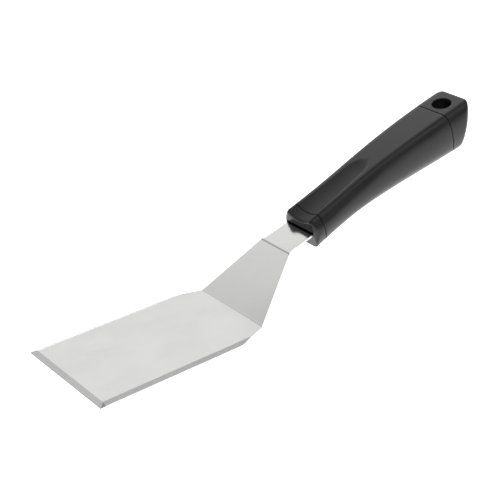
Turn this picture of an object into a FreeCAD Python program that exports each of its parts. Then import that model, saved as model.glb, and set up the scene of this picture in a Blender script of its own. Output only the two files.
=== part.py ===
"""Offset spatula: a cranked stainless blade in a hollow moulded handle with a collar and a hang-hole cap.

Millimetres, +Z up.  The origin is the middle of the blade's flat underside, +X runs from the
blade's tip to the handle, and Y = 0 is the plane of symmetry.
The handle is drawn in its own frame: s along its axis from the collar's front face, y across,
and h square to the tang from the tang's upper face.
"""
import FreeCAD, Part
import math
import os

Vec = FreeCAD.Vector

# ---- blade ----
SHEET = 1.2                  # thickness of the stainless sheet
BLADE_LENGTH = 100.5         # tip to the first fold, on the upper face
BLADE_WIDTH = 60.0
SHOULDER_LENGTH = 83.7       # tip to the shoulder corner, where the sides begin to close in
SHOULDER_RADIUS = 15.0
FOLD_1_WIDTH = 48.4          # width where the sheet first bends
FOLD_2_WIDTH = 21.6          # width where it bends back
NECK_WIDTH = 19.6
NECK_FILLET = 6.0            # hollow corner between the riser's side and the neck
NECK_START = 2.2             # second fold to where the neck's straight sides begin
RISER_PITCH = 41.7
RISER_LENGTH = 39.7          # fold to fold
NECK_PITCH = 15.0            # also the pitch of the handle
NECK_LENGTH = 17.8           # second fold to the collar
FOLD_RADIUS = 1.0            # inner radius of both folds
EDGE_LAND = 0.3              # thickness left at a ground edge
TIP_GRIND = 3.1              # width of the ground band along the tip
SIDE_GRIND = 2.7             # width of the ground bands along the sides
GRIND_STOP = 4.0             # the side bands stop this far before the first fold
TANG_WIDTH = 13.0            # the sheet inside the handle
TANG_STEP = 4.0              # depth behind the collar's face where the neck narrows to the tang
TANG_FILLET = 1.0            # where the neck steps down to the tang
TANG_LENGTH = 68.0           # from the collar's face
TANG_CORNER = 3.0            # corner radius at the tang's end

# ---- handle ----
# stations along the handle: s, top, bottom, half width at the top, upper corner radius
STATIONS = (
    (-3.0, 7.8, -9.0, 11.4, 4.5),
    (7.0, 8.4, -7.6, 11.5, 4.6),
    (25.0, 10.1, -6.0, 11.0, 4.1),
    (45.0, 12.4, -6.2, 11.1, 4.0),
    (65.0, 14.2, -7.2, 11.9, 4.4),
    (85.0, 15.2, -8.2, 12.7, 4.8),
    (107.0, 15.7, -8.5, 13.3, 5.3),
    (128.0, 15.8, -10.0, 13.3, 5.3),
)
LOWER_CORNER = 3.2           # lower corner radius of every section
LEAST_CORNER = 0.8           # smallest corner radius of a hollow's section
SIDE_DRAFT = 1.2             # how much nearer to the middle the sides are at the bottom
WALL = 2.4                   # wall of the hollow grip
FIT_GAP = 0.1                # clearance between mating parts
COLLAR_LENGTH = 6.5
CAP_SEAM = 104.2             # where the end cap begins
HANDLE_LENGTH = 124.6        # along the top
REAR_SLANT = 24.5            # the rear face leans forward towards the bottom
REAR_ROUND = 1.5
FRONT_ROUND = 1.4
SEAM_WIDTH = 0.6
SEAM_DEPTH = 0.5
SPIGOT_LENGTH = 7.0          # how far the collar and the cap reach into the grip
SPIGOT_WALL = 2.0

# ---- thumb recess: a round-bottomed hollow whose floor is a straight line, then an arc ----
RECESS_RADIUS = 14.7         # across the hollow
RECESS_FRONT = (-6.0, 4.6)   # s, h of its floor in front of the collar
RECESS_TURN = (43.5, 11.1)   # s, h where its floor begins to rise to the tip
RECESS_END_RADIUS = 46.0
RECESS_END_TURN = 25.0       # how far the floor's arc turns, out through the top

# ---- collar mouth, hang hole, tang core ----
MOUTH_ABOVE = 0.9            # gap over the neck at the collar's face
MOUTH_BELOW = 0.15
HOLE_CENTRE = 112.5
HOLE_RADIUS = 5.4
HOLE_TUBE_WALL = 1.8
CORE_END = 72.0
PIN_RADIUS = 2.0
PIN_PLACES = (30.0, 54.0)
PIN_ABOVE = 5.0              # how far a pin stands out of the tang upwards
PIN_BELOW = 1.8
CLEAR = 80.0                 # half the size of a block that cuts everything beyond a plane
OVERLAP = 1.0                # how far a cutter or a joined block reaches past the face it meets


# ---------------------------------------------------------------- helpers
def rounded_outline(points, radii, place):
    """A closed wire through flat points (a, b), each corner rounded to its radius."""
    edges = []
    count = len(points)
    starts = []
    ends = []
    arcs = []
    for index in range(count):
        corner = Vec(*points[index], 0)
        before = (Vec(*points[index - 1], 0) - corner).normalize()
        after = (Vec(*points[(index + 1) % count], 0) - corner).normalize()
        half_angle = before.getAngle(after) / 2
        radius = radii[index]
        reach = radius / math.tan(half_angle)
        start = corner + before * reach
        end = corner + after * reach
        if radius > 0:
            centre = corner + (before + after).normalize() * (radius / math.sin(half_angle))
            middle = centre + (corner - centre).normalize() * radius
            arcs.append(Part.Arc(place(start), place(middle), place(end)).toShape())
        else:
            arcs.append(None)
        starts.append(start)
        ends.append(end)
    for index in range(count):
        if arcs[index]:
            edges.append(arcs[index])
        edges.append(Part.LineSegment(place(ends[index]), place(starts[(index + 1) % count])).toShape())
    return Part.Wire(edges)


def on_plan(point):
    """A flat point (x, y) on the ground plane."""
    return Vec(point.x, point.y, 0)


def on_side(point):
    """A flat point (x, z) on the plane of symmetry."""
    return Vec(point.x, 0, point.y)


def across(point):
    """A flat point (y, z) on the plane X = 0."""
    return Vec(0, point.x, point.y)


def direction(pitch):
    """The flat direction (x, z) that climbs at a pitch."""
    return math.cos(math.radians(pitch)), math.sin(math.radians(pitch))


def along(point, pitch, distance):
    """The flat point (x, z) a distance from another at a pitch."""
    dx, dz = direction(pitch)
    return point[0] + distance * dx, point[1] + distance * dz


def under_fold(point, pitch_before, pitch_after):
    """The underside's corner below a fold of the upper face."""
    mean = (pitch_before + pitch_after) / 2
    depth = SHEET / math.cos(math.radians((pitch_after - pitch_before) / 2))
    return along(point, mean - 90, depth)


# ---------------------------------------------------------------- blade's places
TIP = (-BLADE_LENGTH / 2, SHEET)
FOLD_1 = along(TIP, 0, BLADE_LENGTH)
FOLD_2 = along(FOLD_1, RISER_PITCH, RISER_LENGTH)
COLLAR_FACE = along(FOLD_2, NECK_PITCH, NECK_LENGTH)
TANG_END = along(COLLAR_FACE, NECK_PITCH, TANG_LENGTH)

HANDLE = FreeCAD.Placement(Vec(COLLAR_FACE[0], 0, COLLAR_FACE[1]),
                           FreeCAD.Rotation(Vec(0, 1, 0), -NECK_PITCH))


def in_handle_frame(shape):
    """Move a shape drawn at (s, y, h) to its place in the part's frame."""
    moved = shape.copy()
    moved.Placement = HANDLE.multiply(moved.Placement)
    return moved


# ---------------------------------------------------------------- blade
def blade_sheet():
    """The sheet seen from the side, with its folds, extruded across."""
    upper = [TIP, FOLD_1, FOLD_2, TANG_END]
    lower = [
        along(TIP, -90, SHEET),
        under_fold(FOLD_1, 0, RISER_PITCH),
        under_fold(FOLD_2, RISER_PITCH, NECK_PITCH),
        along(TANG_END, NECK_PITCH - 90, SHEET),
    ]
    inner = FOLD_RADIUS
    outer = FOLD_RADIUS + SHEET
    side = rounded_outline(upper + lower[::-1], [0, inner, outer, 0, 0, inner, outer, 0], on_side)
    return Part.Face(side).extrude(Vec(0, BLADE_WIDTH, 0)).translate(Vec(0, -BLADE_WIDTH / 2, 0))


def blade_outline():
    """The sheet's outline from above: square tip, rounded shoulders, tapering riser, neck, tang."""
    neck_start = along(FOLD_2, NECK_PITCH, NECK_START)[0]
    step = along(COLLAR_FACE, NECK_PITCH, TANG_STEP)[0]
    half = [
        ((TIP[0], BLADE_WIDTH / 2), 0),
        ((TIP[0] + SHOULDER_LENGTH, BLADE_WIDTH / 2), SHOULDER_RADIUS),
        ((FOLD_1[0], FOLD_1_WIDTH / 2), 0),
        ((FOLD_2[0], FOLD_2_WIDTH / 2), 0),
        ((neck_start, NECK_WIDTH / 2), NECK_FILLET),
        ((step, NECK_WIDTH / 2), TANG_FILLET),
        ((step, TANG_WIDTH / 2), TANG_FILLET),
        ((TANG_END[0], TANG_WIDTH / 2), TANG_CORNER),
    ]
    points = [point for point, _ in half] + [(x, -y) for (x, y), _ in reversed(half)]
    radii = [radius for _, radius in half] + [radius for _, radius in reversed(half)]
    return rounded_outline(points, radii, on_plan)


def grind_wedges():
    """What the grinder takes off the upper face along the tip and both sides."""
    depth = SHEET - EDGE_LAND
    side = BLADE_WIDTH / 2
    over = OVERLAP
    slope = depth / SIDE_GRIND
    length = FOLD_1[0] - TIP[0] - GRIND_STOP
    wedges = []
    for sign in (1, -1):
        corners = [
            (sign * (side - SIDE_GRIND), SHEET),
            (sign * (side + over), SHEET - (SIDE_GRIND + over) * slope),
            (sign * (side + over), SHEET + over),
            (sign * (side - SIDE_GRIND), SHEET + over),
        ]
        wedge = Part.Face(rounded_outline(corners, [0] * 4, across)).extrude(Vec(length + over, 0, 0))
        wedges.append(wedge.translate(Vec(TIP[0] - over, 0, 0)))
    slope = depth / TIP_GRIND
    corners = [
        (TIP[0] + TIP_GRIND, SHEET),
        (TIP[0] - over, SHEET - (TIP_GRIND + over) * slope),
        (TIP[0] - over, SHEET + over),
        (TIP[0] + TIP_GRIND, SHEET + over),
    ]
    wedge = Part.Face(rounded_outline(corners, [0] * 4, on_side)).extrude(Vec(0, BLADE_WIDTH + 2 * over, 0))
    wedges.append(wedge.translate(Vec(0, -BLADE_WIDTH / 2 - over, 0)))
    return wedges


def pin_cylinder(s):
    """A pin square to the tang at s."""
    foot = Vec(s, 0, -SHEET - PIN_BELOW)
    return in_handle_frame(Part.makeCylinder(PIN_RADIUS, PIN_BELOW + SHEET + PIN_ABOVE, foot, Vec(0, 0, 1)))


def blade():
    """Blade, riser, neck and tang: one stamped, ground and folded sheet with two pin holes."""
    outline = Part.Face(blade_outline()).extrude(Vec(0, 0, 2 * CLEAR)).translate(Vec(0, 0, -CLEAR / 2))
    sheet = blade_sheet().common(outline)
    for wedge in grind_wedges():
        sheet = sheet.cut(wedge)
    for s in PIN_PLACES:
        sheet = sheet.cut(pin_cylinder(s))
    return sheet


# ---------------------------------------------------------------- handle body
def section(station, inset):
    """One cross-section of the handle, every face moved inwards by the inset."""
    s, top, bottom, half_width, corner = station
    upper = half_width - inset
    lower = half_width - SIDE_DRAFT - inset
    points = [(upper, top - inset), (-upper, top - inset), (-lower, bottom + inset), (lower, bottom + inset)]
    upper_round = max(corner - inset, LEAST_CORNER)
    lower_round = max(LOWER_CORNER - inset, LEAST_CORNER)
    return rounded_outline(points, [upper_round, upper_round, lower_round, lower_round],
                           lambda point: Vec(s, point.x, point.y))


def recess(inset):
    """The thumb recess's cutter: its floor's line and arc, spun about an axis above it."""
    pitch = math.degrees(math.atan2(RECESS_TURN[1] - RECESS_FRONT[1], RECESS_TURN[0] - RECESS_FRONT[0]))
    radius = RECESS_RADIUS + inset
    front_axis = along(RECESS_FRONT, pitch + 90, RECESS_RADIUS)
    front = along(RECESS_FRONT, pitch - 90, inset)
    turn = along(RECESS_TURN, pitch - 90, inset)
    end_radius = RECESS_END_RADIUS + inset
    centre = along(RECESS_TURN, pitch + 90, RECESS_END_RADIUS)
    middle = along(centre, pitch - 90 + RECESS_END_TURN / 2, end_radius)
    end = along(centre, pitch - 90 + RECESS_END_TURN, end_radius)
    run = (end[0] - front_axis[0]) * direction(pitch)[0] + (end[1] - front_axis[1]) * direction(pitch)[1]
    end_axis = along(front_axis, pitch, run)
    places = [Vec(a, 0, b) for a, b in (front_axis, front, turn, middle, end, end_axis)]
    meridian = Part.Wire([
        Part.LineSegment(places[0], places[1]).toShape(),
        Part.LineSegment(places[1], places[2]).toShape(),
        Part.Arc(places[2], places[3], places[4]).toShape(),
        Part.LineSegment(places[4], places[5]).toShape(),
        Part.LineSegment(places[5], places[0]).toShape(),
    ])
    axis = Vec(direction(pitch)[0], 0, direction(pitch)[1])
    return Part.Face(meridian).revolve(places[0], axis, 360)


def beyond(s, pitch, upward):
    """A block with its face through the handle's top line at s, covering what lies past it."""
    block = Part.makeBox(CLEAR, 2 * CLEAR, 2 * CLEAR, Vec(0, -CLEAR, -CLEAR))
    block.rotate(Vec(0, 0, 0), Vec(0, 1, 0), pitch)
    return block.translate(Vec(s, 0, upward))


def handle_body(inset):
    """The whole handle as one solid, every outer face moved inwards by the inset."""
    body = Part.makeLoft([section(station, inset) for station in STATIONS], True)
    body = body.cut(Part.makeBox(CLEAR, 2 * CLEAR, 2 * CLEAR, Vec(inset - CLEAR, -CLEAR, -CLEAR)))
    top_end = STATIONS[-1][1]
    body = body.cut(beyond(HANDLE_LENGTH - inset / math.cos(math.radians(REAR_SLANT)), REAR_SLANT, top_end))
    rear = max(body.Faces, key=lambda face: face.CenterOfMass.x)
    if REAR_ROUND > inset:
        body = body.makeFillet(REAR_ROUND - inset, rear.Edges)
    front = min(body.Faces, key=lambda face: face.CenterOfMass.x)
    if FRONT_ROUND > inset:
        body = body.makeFillet(FRONT_ROUND - inset, front.Edges)
    return body.cut(recess(inset))


def between(body, start, end):
    """The stretch of a handle body from s = start to s = end."""
    return body.common(Part.makeBox(end - start, 2 * CLEAR, 2 * CLEAR, Vec(start, -CLEAR, -CLEAR)))


def seam_groove(outside, s):
    """The fine groove round the handle where two mouldings meet."""
    ring = outside.cut(handle_body(SEAM_DEPTH))
    return between(ring, s - SEAM_WIDTH / 2, s + SEAM_WIDTH / 2)


def slot(start, end, width, above, below):
    """Room for the sheet in the handle: a box round it."""
    return Part.makeBox(end - start, width, SHEET + above + below, Vec(start, -width / 2, -SHEET - below))


def front_collar(outside, inside):
    """The ring at the handle's front, with the mouth for the neck and a spigot for the grip."""
    spigot_end = COLLAR_LENGTH + SPIGOT_LENGTH
    ring = between(outside, -OVERLAP, COLLAR_LENGTH)
    spigot = between(inside, COLLAR_LENGTH - OVERLAP, spigot_end)
    collar = ring.fuse(spigot)
    mouth_end = TANG_STEP + TANG_FILLET + FIT_GAP
    collar = collar.cut(slot(-OVERLAP, mouth_end, NECK_WIDTH + 4 * FIT_GAP, MOUTH_ABOVE, MOUTH_BELOW))
    collar = collar.cut(slot(0, spigot_end + OVERLAP, TANG_WIDTH + 2 * FIT_GAP, 0, 0))
    return collar.cut(seam_groove(outside, COLLAR_LENGTH)).removeSplitter()


def grip_shell(outside):
    """The hollow grip between the collar and the cap."""
    shell = between(outside, COLLAR_LENGTH, CAP_SEAM).cut(handle_body(WALL))
    for seam in (COLLAR_LENGTH, CAP_SEAM):
        shell = shell.cut(seam_groove(outside, seam))
    return shell


def hang_bore(radius):
    """A cylinder through the cap, square to the handle's top."""
    return Part.makeCylinder(radius, CLEAR, Vec(HOLE_CENTRE, 0, -CLEAR / 2), Vec(0, 0, 1))


def end_cap(outside, inside):
    """The slanted, rounded cap with its hang hole; hollow, with a spigot for the grip."""
    cap = between(outside, CAP_SEAM, HANDLE_LENGTH + CLEAR / 2)
    spigot = between(inside, CAP_SEAM - SPIGOT_LENGTH, CAP_SEAM + OVERLAP)
    hollow = handle_body(WALL + FIT_GAP + SPIGOT_WALL).cut(hang_bore(HOLE_RADIUS + HOLE_TUBE_WALL))
    cap = cap.fuse(spigot).cut(hollow).cut(hang_bore(HOLE_RADIUS))
    return cap.cut(seam_groove(outside, CAP_SEAM)).removeSplitter()


def tang_core(inside, upper):
    """Half of the core that carries the tang inside the grip, split level with the sheet's middle."""
    start = COLLAR_LENGTH + SPIGOT_LENGTH
    core = between(inside, start, CORE_END)
    core = core.cut(slot(start - OVERLAP, TANG_LENGTH + FIT_GAP, TANG_WIDTH + 2 * FIT_GAP, 0, 0))
    other_side = -SHEET / 2 - 2 * CLEAR if upper else -SHEET / 2
    return core.cut(Part.makeBox(4 * CLEAR, 2 * CLEAR, 2 * CLEAR, Vec(-CLEAR, -CLEAR, other_side)))


# ---------------------------------------------------------------- all pieces
def build():
    """Every piece in its own node."""
    outside = handle_body(0)
    inside = handle_body(WALL + FIT_GAP)
    pins = [pin_cylinder(s) for s in PIN_PLACES]
    cores = []
    for upper in (True, False):
        core = in_handle_frame(tang_core(inside, upper))
        for pin in pins:
            core = core.cut(pin)
        cores.append(core)
    return {
        "blade": blade(),
        "front_collar": in_handle_frame(front_collar(outside, inside)),
        "grip_shell": in_handle_frame(grip_shell(outside)),
        "end_cap": in_handle_frame(end_cap(outside, inside)),
        "tang_core_upper": cores[0],
        "tang_core_lower": cores[1],
        "tang_pins": Part.makeCompound(pins),
    }


os.makedirs("parts", exist_ok=True)
for name, shape in build().items():
    print(name, "solids", len(shape.Solids), "valid", shape.isValid(), "volume", round(shape.Volume, 1))
    shape.exportStep("parts/" + name + ".step")
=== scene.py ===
"""Offset spatula: the finished surfaces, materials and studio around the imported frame."""

import logging
import math
from dataclasses import dataclass, field
from enum import Enum

import bpy
import numpy as np
from mathutils import Matrix, Vector

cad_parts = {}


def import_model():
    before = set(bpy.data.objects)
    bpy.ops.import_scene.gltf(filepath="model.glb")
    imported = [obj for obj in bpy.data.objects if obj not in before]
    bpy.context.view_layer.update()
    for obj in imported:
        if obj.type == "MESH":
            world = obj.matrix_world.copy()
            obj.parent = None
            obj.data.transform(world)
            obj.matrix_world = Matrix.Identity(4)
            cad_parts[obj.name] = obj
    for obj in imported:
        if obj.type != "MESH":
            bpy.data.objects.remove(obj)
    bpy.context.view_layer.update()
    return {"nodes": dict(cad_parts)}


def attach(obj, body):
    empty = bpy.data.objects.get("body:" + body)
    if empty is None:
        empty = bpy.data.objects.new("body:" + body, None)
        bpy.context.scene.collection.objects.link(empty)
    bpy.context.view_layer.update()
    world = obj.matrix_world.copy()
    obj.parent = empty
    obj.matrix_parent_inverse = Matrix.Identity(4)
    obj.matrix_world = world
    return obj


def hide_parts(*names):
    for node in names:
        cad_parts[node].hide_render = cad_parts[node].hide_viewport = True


MM = 0.001
log = logging.getLogger("spatula")


# ------------------------------------------------------------------ arrays and meshes
def smoothstep(low: float, high: float, x: np.ndarray) -> np.ndarray:
    """Rise from 0 at low to 1 at high with level ends: t * t * (3 - 2 t).

    Args:
        low: where the rise begins.
        high: where it ends.
        x: values to map.

    Returns:
        The mapped values.
    """
    t = np.clip((x - low) / (high - low), 0.0, 1.0)
    return t * t * (3.0 - 2.0 * t)


def natural_spline(knots: np.ndarray, values: np.ndarray, x: np.ndarray) -> np.ndarray:
    """The natural cubic spline through (knots, values).

    The second derivatives solve the usual three-term system with zero at both ends; between
    knots the curve is the straight line plus the cubic correction from both ends' bending.

    Args:
        knots: rising positions.
        values: one value per knot.
        x: where to read the curve.

    Returns:
        The curve's values at x.
    """
    gap = np.diff(knots)
    count = len(knots)
    system = np.eye(count)
    inner = np.arange(1, count - 1)
    system[inner, inner - 1] = gap[:-1]
    system[inner, inner] = 2.0 * (gap[:-1] + gap[1:])
    system[inner, inner + 1] = gap[1:]
    rhs = np.zeros(count)
    slope = np.diff(values) / gap
    rhs[1:-1] = 6.0 * np.diff(slope)
    bend = np.linalg.solve(system, rhs)
    span = np.clip(np.searchsorted(knots, x) - 1, 0, count - 2)
    width = gap[span]
    a = (knots[span + 1] - x) / width
    b = 1.0 - a
    line = a * values[span] + b * values[span + 1]
    return line + ((a**3 - a) * bend[span] + (b**3 - b) * bend[span + 1]) * width**2 / 6.0


def rows_between(start: float, end: float, step: float) -> np.ndarray:
    """Even places from start to end, no further apart than step.

    Args:
        start: first place.
        end: last place.
        step: largest gap.

    Returns:
        The places, both ends included.
    """
    return np.linspace(start, end, max(2, int(math.ceil(abs(end - start) / step)) + 1))


@dataclass(frozen=True)
class Grid:
    """A surface of rows and columns that becomes a mesh of quads."""

    points: np.ndarray
    wrap_rows: bool = False
    cap_ends: bool = False

    def faces(self) -> tuple[np.ndarray, list[list[int]]]:
        """Quads between neighbouring rows and columns, columns always closed, and end caps.

        Returns:
            The quads as an array of point numbers, and the caps' loops of point numbers.
        """
        rows, cols = self.points.shape[:2]
        index = np.arange(rows * cols).reshape(rows, cols)
        last = rows if self.wrap_rows else rows - 1
        i = np.arange(last)
        a = index[i]
        b = index[(i + 1) % rows]
        quads = np.stack([a, np.roll(a, -1, 1), np.roll(b, -1, 1), b], axis=-1).reshape(-1, 4)
        caps = [index[0][::-1].tolist(), index[-1].tolist()] if self.cap_ends else []
        return quads, caps

    def to_object(self, name: str) -> bpy.types.Object:
        """Build the object, with faces pointing outwards.

        Args:
            name: the piece's name.

        Returns:
            The object, linked into the scene.
        """
        flat = self.points.reshape(-1, 3)
        quads, caps = self.faces()
        corner = flat[quads]
        cross = np.cross(corner[:, 2] - corner[:, 0], corner[:, 3] - corner[:, 1])
        if ((corner.mean(1) - flat.mean(0)) * cross).sum() < 0.0:
            quads = quads[:, ::-1]
            caps = [cap[::-1] for cap in caps]
        mesh = bpy.data.meshes.new(name)
        mesh.from_pydata(flat.tolist(), [], quads.tolist() + caps)
        mesh.validate()
        mesh.polygons.foreach_set("use_smooth", np.ones(len(mesh.polygons), bool))
        obj = bpy.data.objects.new(name, mesh)
        bpy.context.scene.collection.objects.link(obj)
        return obj


def crisp_over(obj: bpy.types.Object, degrees: float) -> None:
    """Mark edges that turn by more than an angle as sharp.

    Args:
        obj: the piece.
        degrees: the angle.
    """
    obj.data.set_sharp_from_angle(angle=math.radians(degrees))


# ------------------------------------------------------------------ materials
class Graph:
    """A material's node tree, with short calls to add and join nodes."""

    def __init__(self, name: str) -> None:
        """Start an empty material.

        Args:
            name: the material's name.
        """
        self.material = bpy.data.materials.new(name)
        self.material.use_nodes = True
        self.tree = self.material.node_tree
        self.tree.nodes.clear()
        self.shader = self.add("ShaderNodeBsdfPrincipled")
        output = self.add("ShaderNodeOutputMaterial")
        self.join(self.shader.outputs["BSDF"], output.inputs["Surface"])

    def add(self, kind: str, **settings: object) -> bpy.types.Node:
        """Add a node and set its properties.

        Args:
            kind: the node's type name.
            settings: properties to set on it.

        Returns:
            The node.
        """
        node = self.tree.nodes.new(kind)
        for key, value in settings.items():
            setattr(node, key, value)
        return node

    def join(self, output: bpy.types.NodeSocket, target: bpy.types.NodeSocket) -> None:
        """Link an output to an input."""
        self.tree.links.new(output, target)

    def set(self, **values: object) -> None:
        """Set the shader's own sockets; underscores in a name stand for spaces."""
        for key, value in values.items():
            self.shader.inputs[key.replace("_", " ")].default_value = value

    def math(self, operation: str, a: object, b: object = 0.0) -> bpy.types.NodeSocket:
        """A two-input arithmetic node.

        Args:
            operation: Blender's name for it.
            a: a socket or a number.
            b: a socket or a number.

        Returns:
            The result's socket.
        """
        node = self.add("ShaderNodeMath", operation=operation)
        for place, value in enumerate((a, b)):
            if isinstance(value, bpy.types.NodeSocket):
                self.join(value, node.inputs[place])
            else:
                node.inputs[place].default_value = value
        return node.outputs[0]

    def object_place(self, scale: tuple[float, float, float] = (1.0, 1.0, 1.0)) -> bpy.types.NodeSocket:
        """Object coordinates, stretched.

        Args:
            scale: how much along each axis.

        Returns:
            The coordinates' socket.
        """
        mapping = self.add("ShaderNodeMapping")
        mapping.inputs["Scale"].default_value = scale
        self.join(self.add("ShaderNodeTexCoord").outputs["Object"], mapping.inputs["Vector"])
        return mapping.outputs["Vector"]

    def sheet_place(self, scale: tuple[float, float, float] = (1.0, 1.0, 1.0)) -> bpy.types.NodeSocket:
        """The piece's own UV map, stretched.

        Args:
            scale: how much along each axis.

        Returns:
            The coordinates' socket.
        """
        mapping = self.add("ShaderNodeMapping")
        mapping.inputs["Scale"].default_value = scale
        self.join(self.add("ShaderNodeUVMap", uv_map="sheet").outputs["UV"], mapping.inputs["Vector"])
        return mapping.outputs["Vector"]

    def noise(self, place: bpy.types.NodeSocket, scale: float, detail: float = 2.0,
              roughness: float = 0.5) -> bpy.types.NodeSocket:
        """Noise from 0 to 1.

        Args:
            place: the coordinates' socket.
            scale: waves per metre.
            detail: octaves.
            roughness: weight of the finer octaves.

        Returns:
            The value's socket.
        """
        node = self.add("ShaderNodeTexNoise")
        node.inputs["Scale"].default_value = scale
        node.inputs["Detail"].default_value = detail
        node.inputs["Roughness"].default_value = roughness
        self.join(place, node.inputs["Vector"])
        return node.outputs["Fac"]

    def remap(self, value: bpy.types.NodeSocket, low: float, high: float, to_low: float,
              to_high: float) -> bpy.types.NodeSocket:
        """Map a value's range smoothly to another.

        Args:
            value: the socket to map.
            low: where the change begins.
            high: where it ends.
            to_low: the result at and below low.
            to_high: the result at and above high.

        Returns:
            The result's socket.
        """
        node = self.add("ShaderNodeMapRange", interpolation_type="SMOOTHSTEP")
        self.join(value, node.inputs["Value"])
        for key, number in (("From Min", low), ("From Max", high), ("To Min", to_low), ("To Max", to_high)):
            node.inputs[key].default_value = number
        return node.outputs["Result"]

    def mix(self, share: bpy.types.NodeSocket, a: object, b: object) -> bpy.types.NodeSocket:
        """Blend two colours by a share from 0 to 1.

        Args:
            share: how much of the second colour.
            a: the first colour, a socket or three numbers.
            b: the second colour, the same.

        Returns:
            The blend's socket.
        """
        node = self.add("ShaderNodeMix", data_type="RGBA")
        self.join(share, node.inputs[0])
        for place, value in ((6, a), (7, b)):
            if isinstance(value, bpy.types.NodeSocket):
                self.join(value, node.inputs[place])
            else:
                node.inputs[place].default_value = (*value, 1.0)
        return node.outputs[2]

    def bump(self, height: bpy.types.NodeSocket, depth: float,
             over: bpy.types.NodeSocket | None = None) -> bpy.types.NodeSocket:
        """Bump by a height from 0 to 1 times a depth.

        Args:
            height: the height's socket.
            depth: the depth in metres.
            over: another bump's normal to add to.

        Returns:
            The normal's socket.
        """
        node = self.add("ShaderNodeBump")
        node.inputs["Strength"].default_value = 1.0
        node.inputs["Distance"].default_value = depth
        self.join(height, node.inputs["Height"])
        if over is not None:
            self.join(over, node.inputs["Normal"])
        return node.outputs["Normal"]


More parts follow.
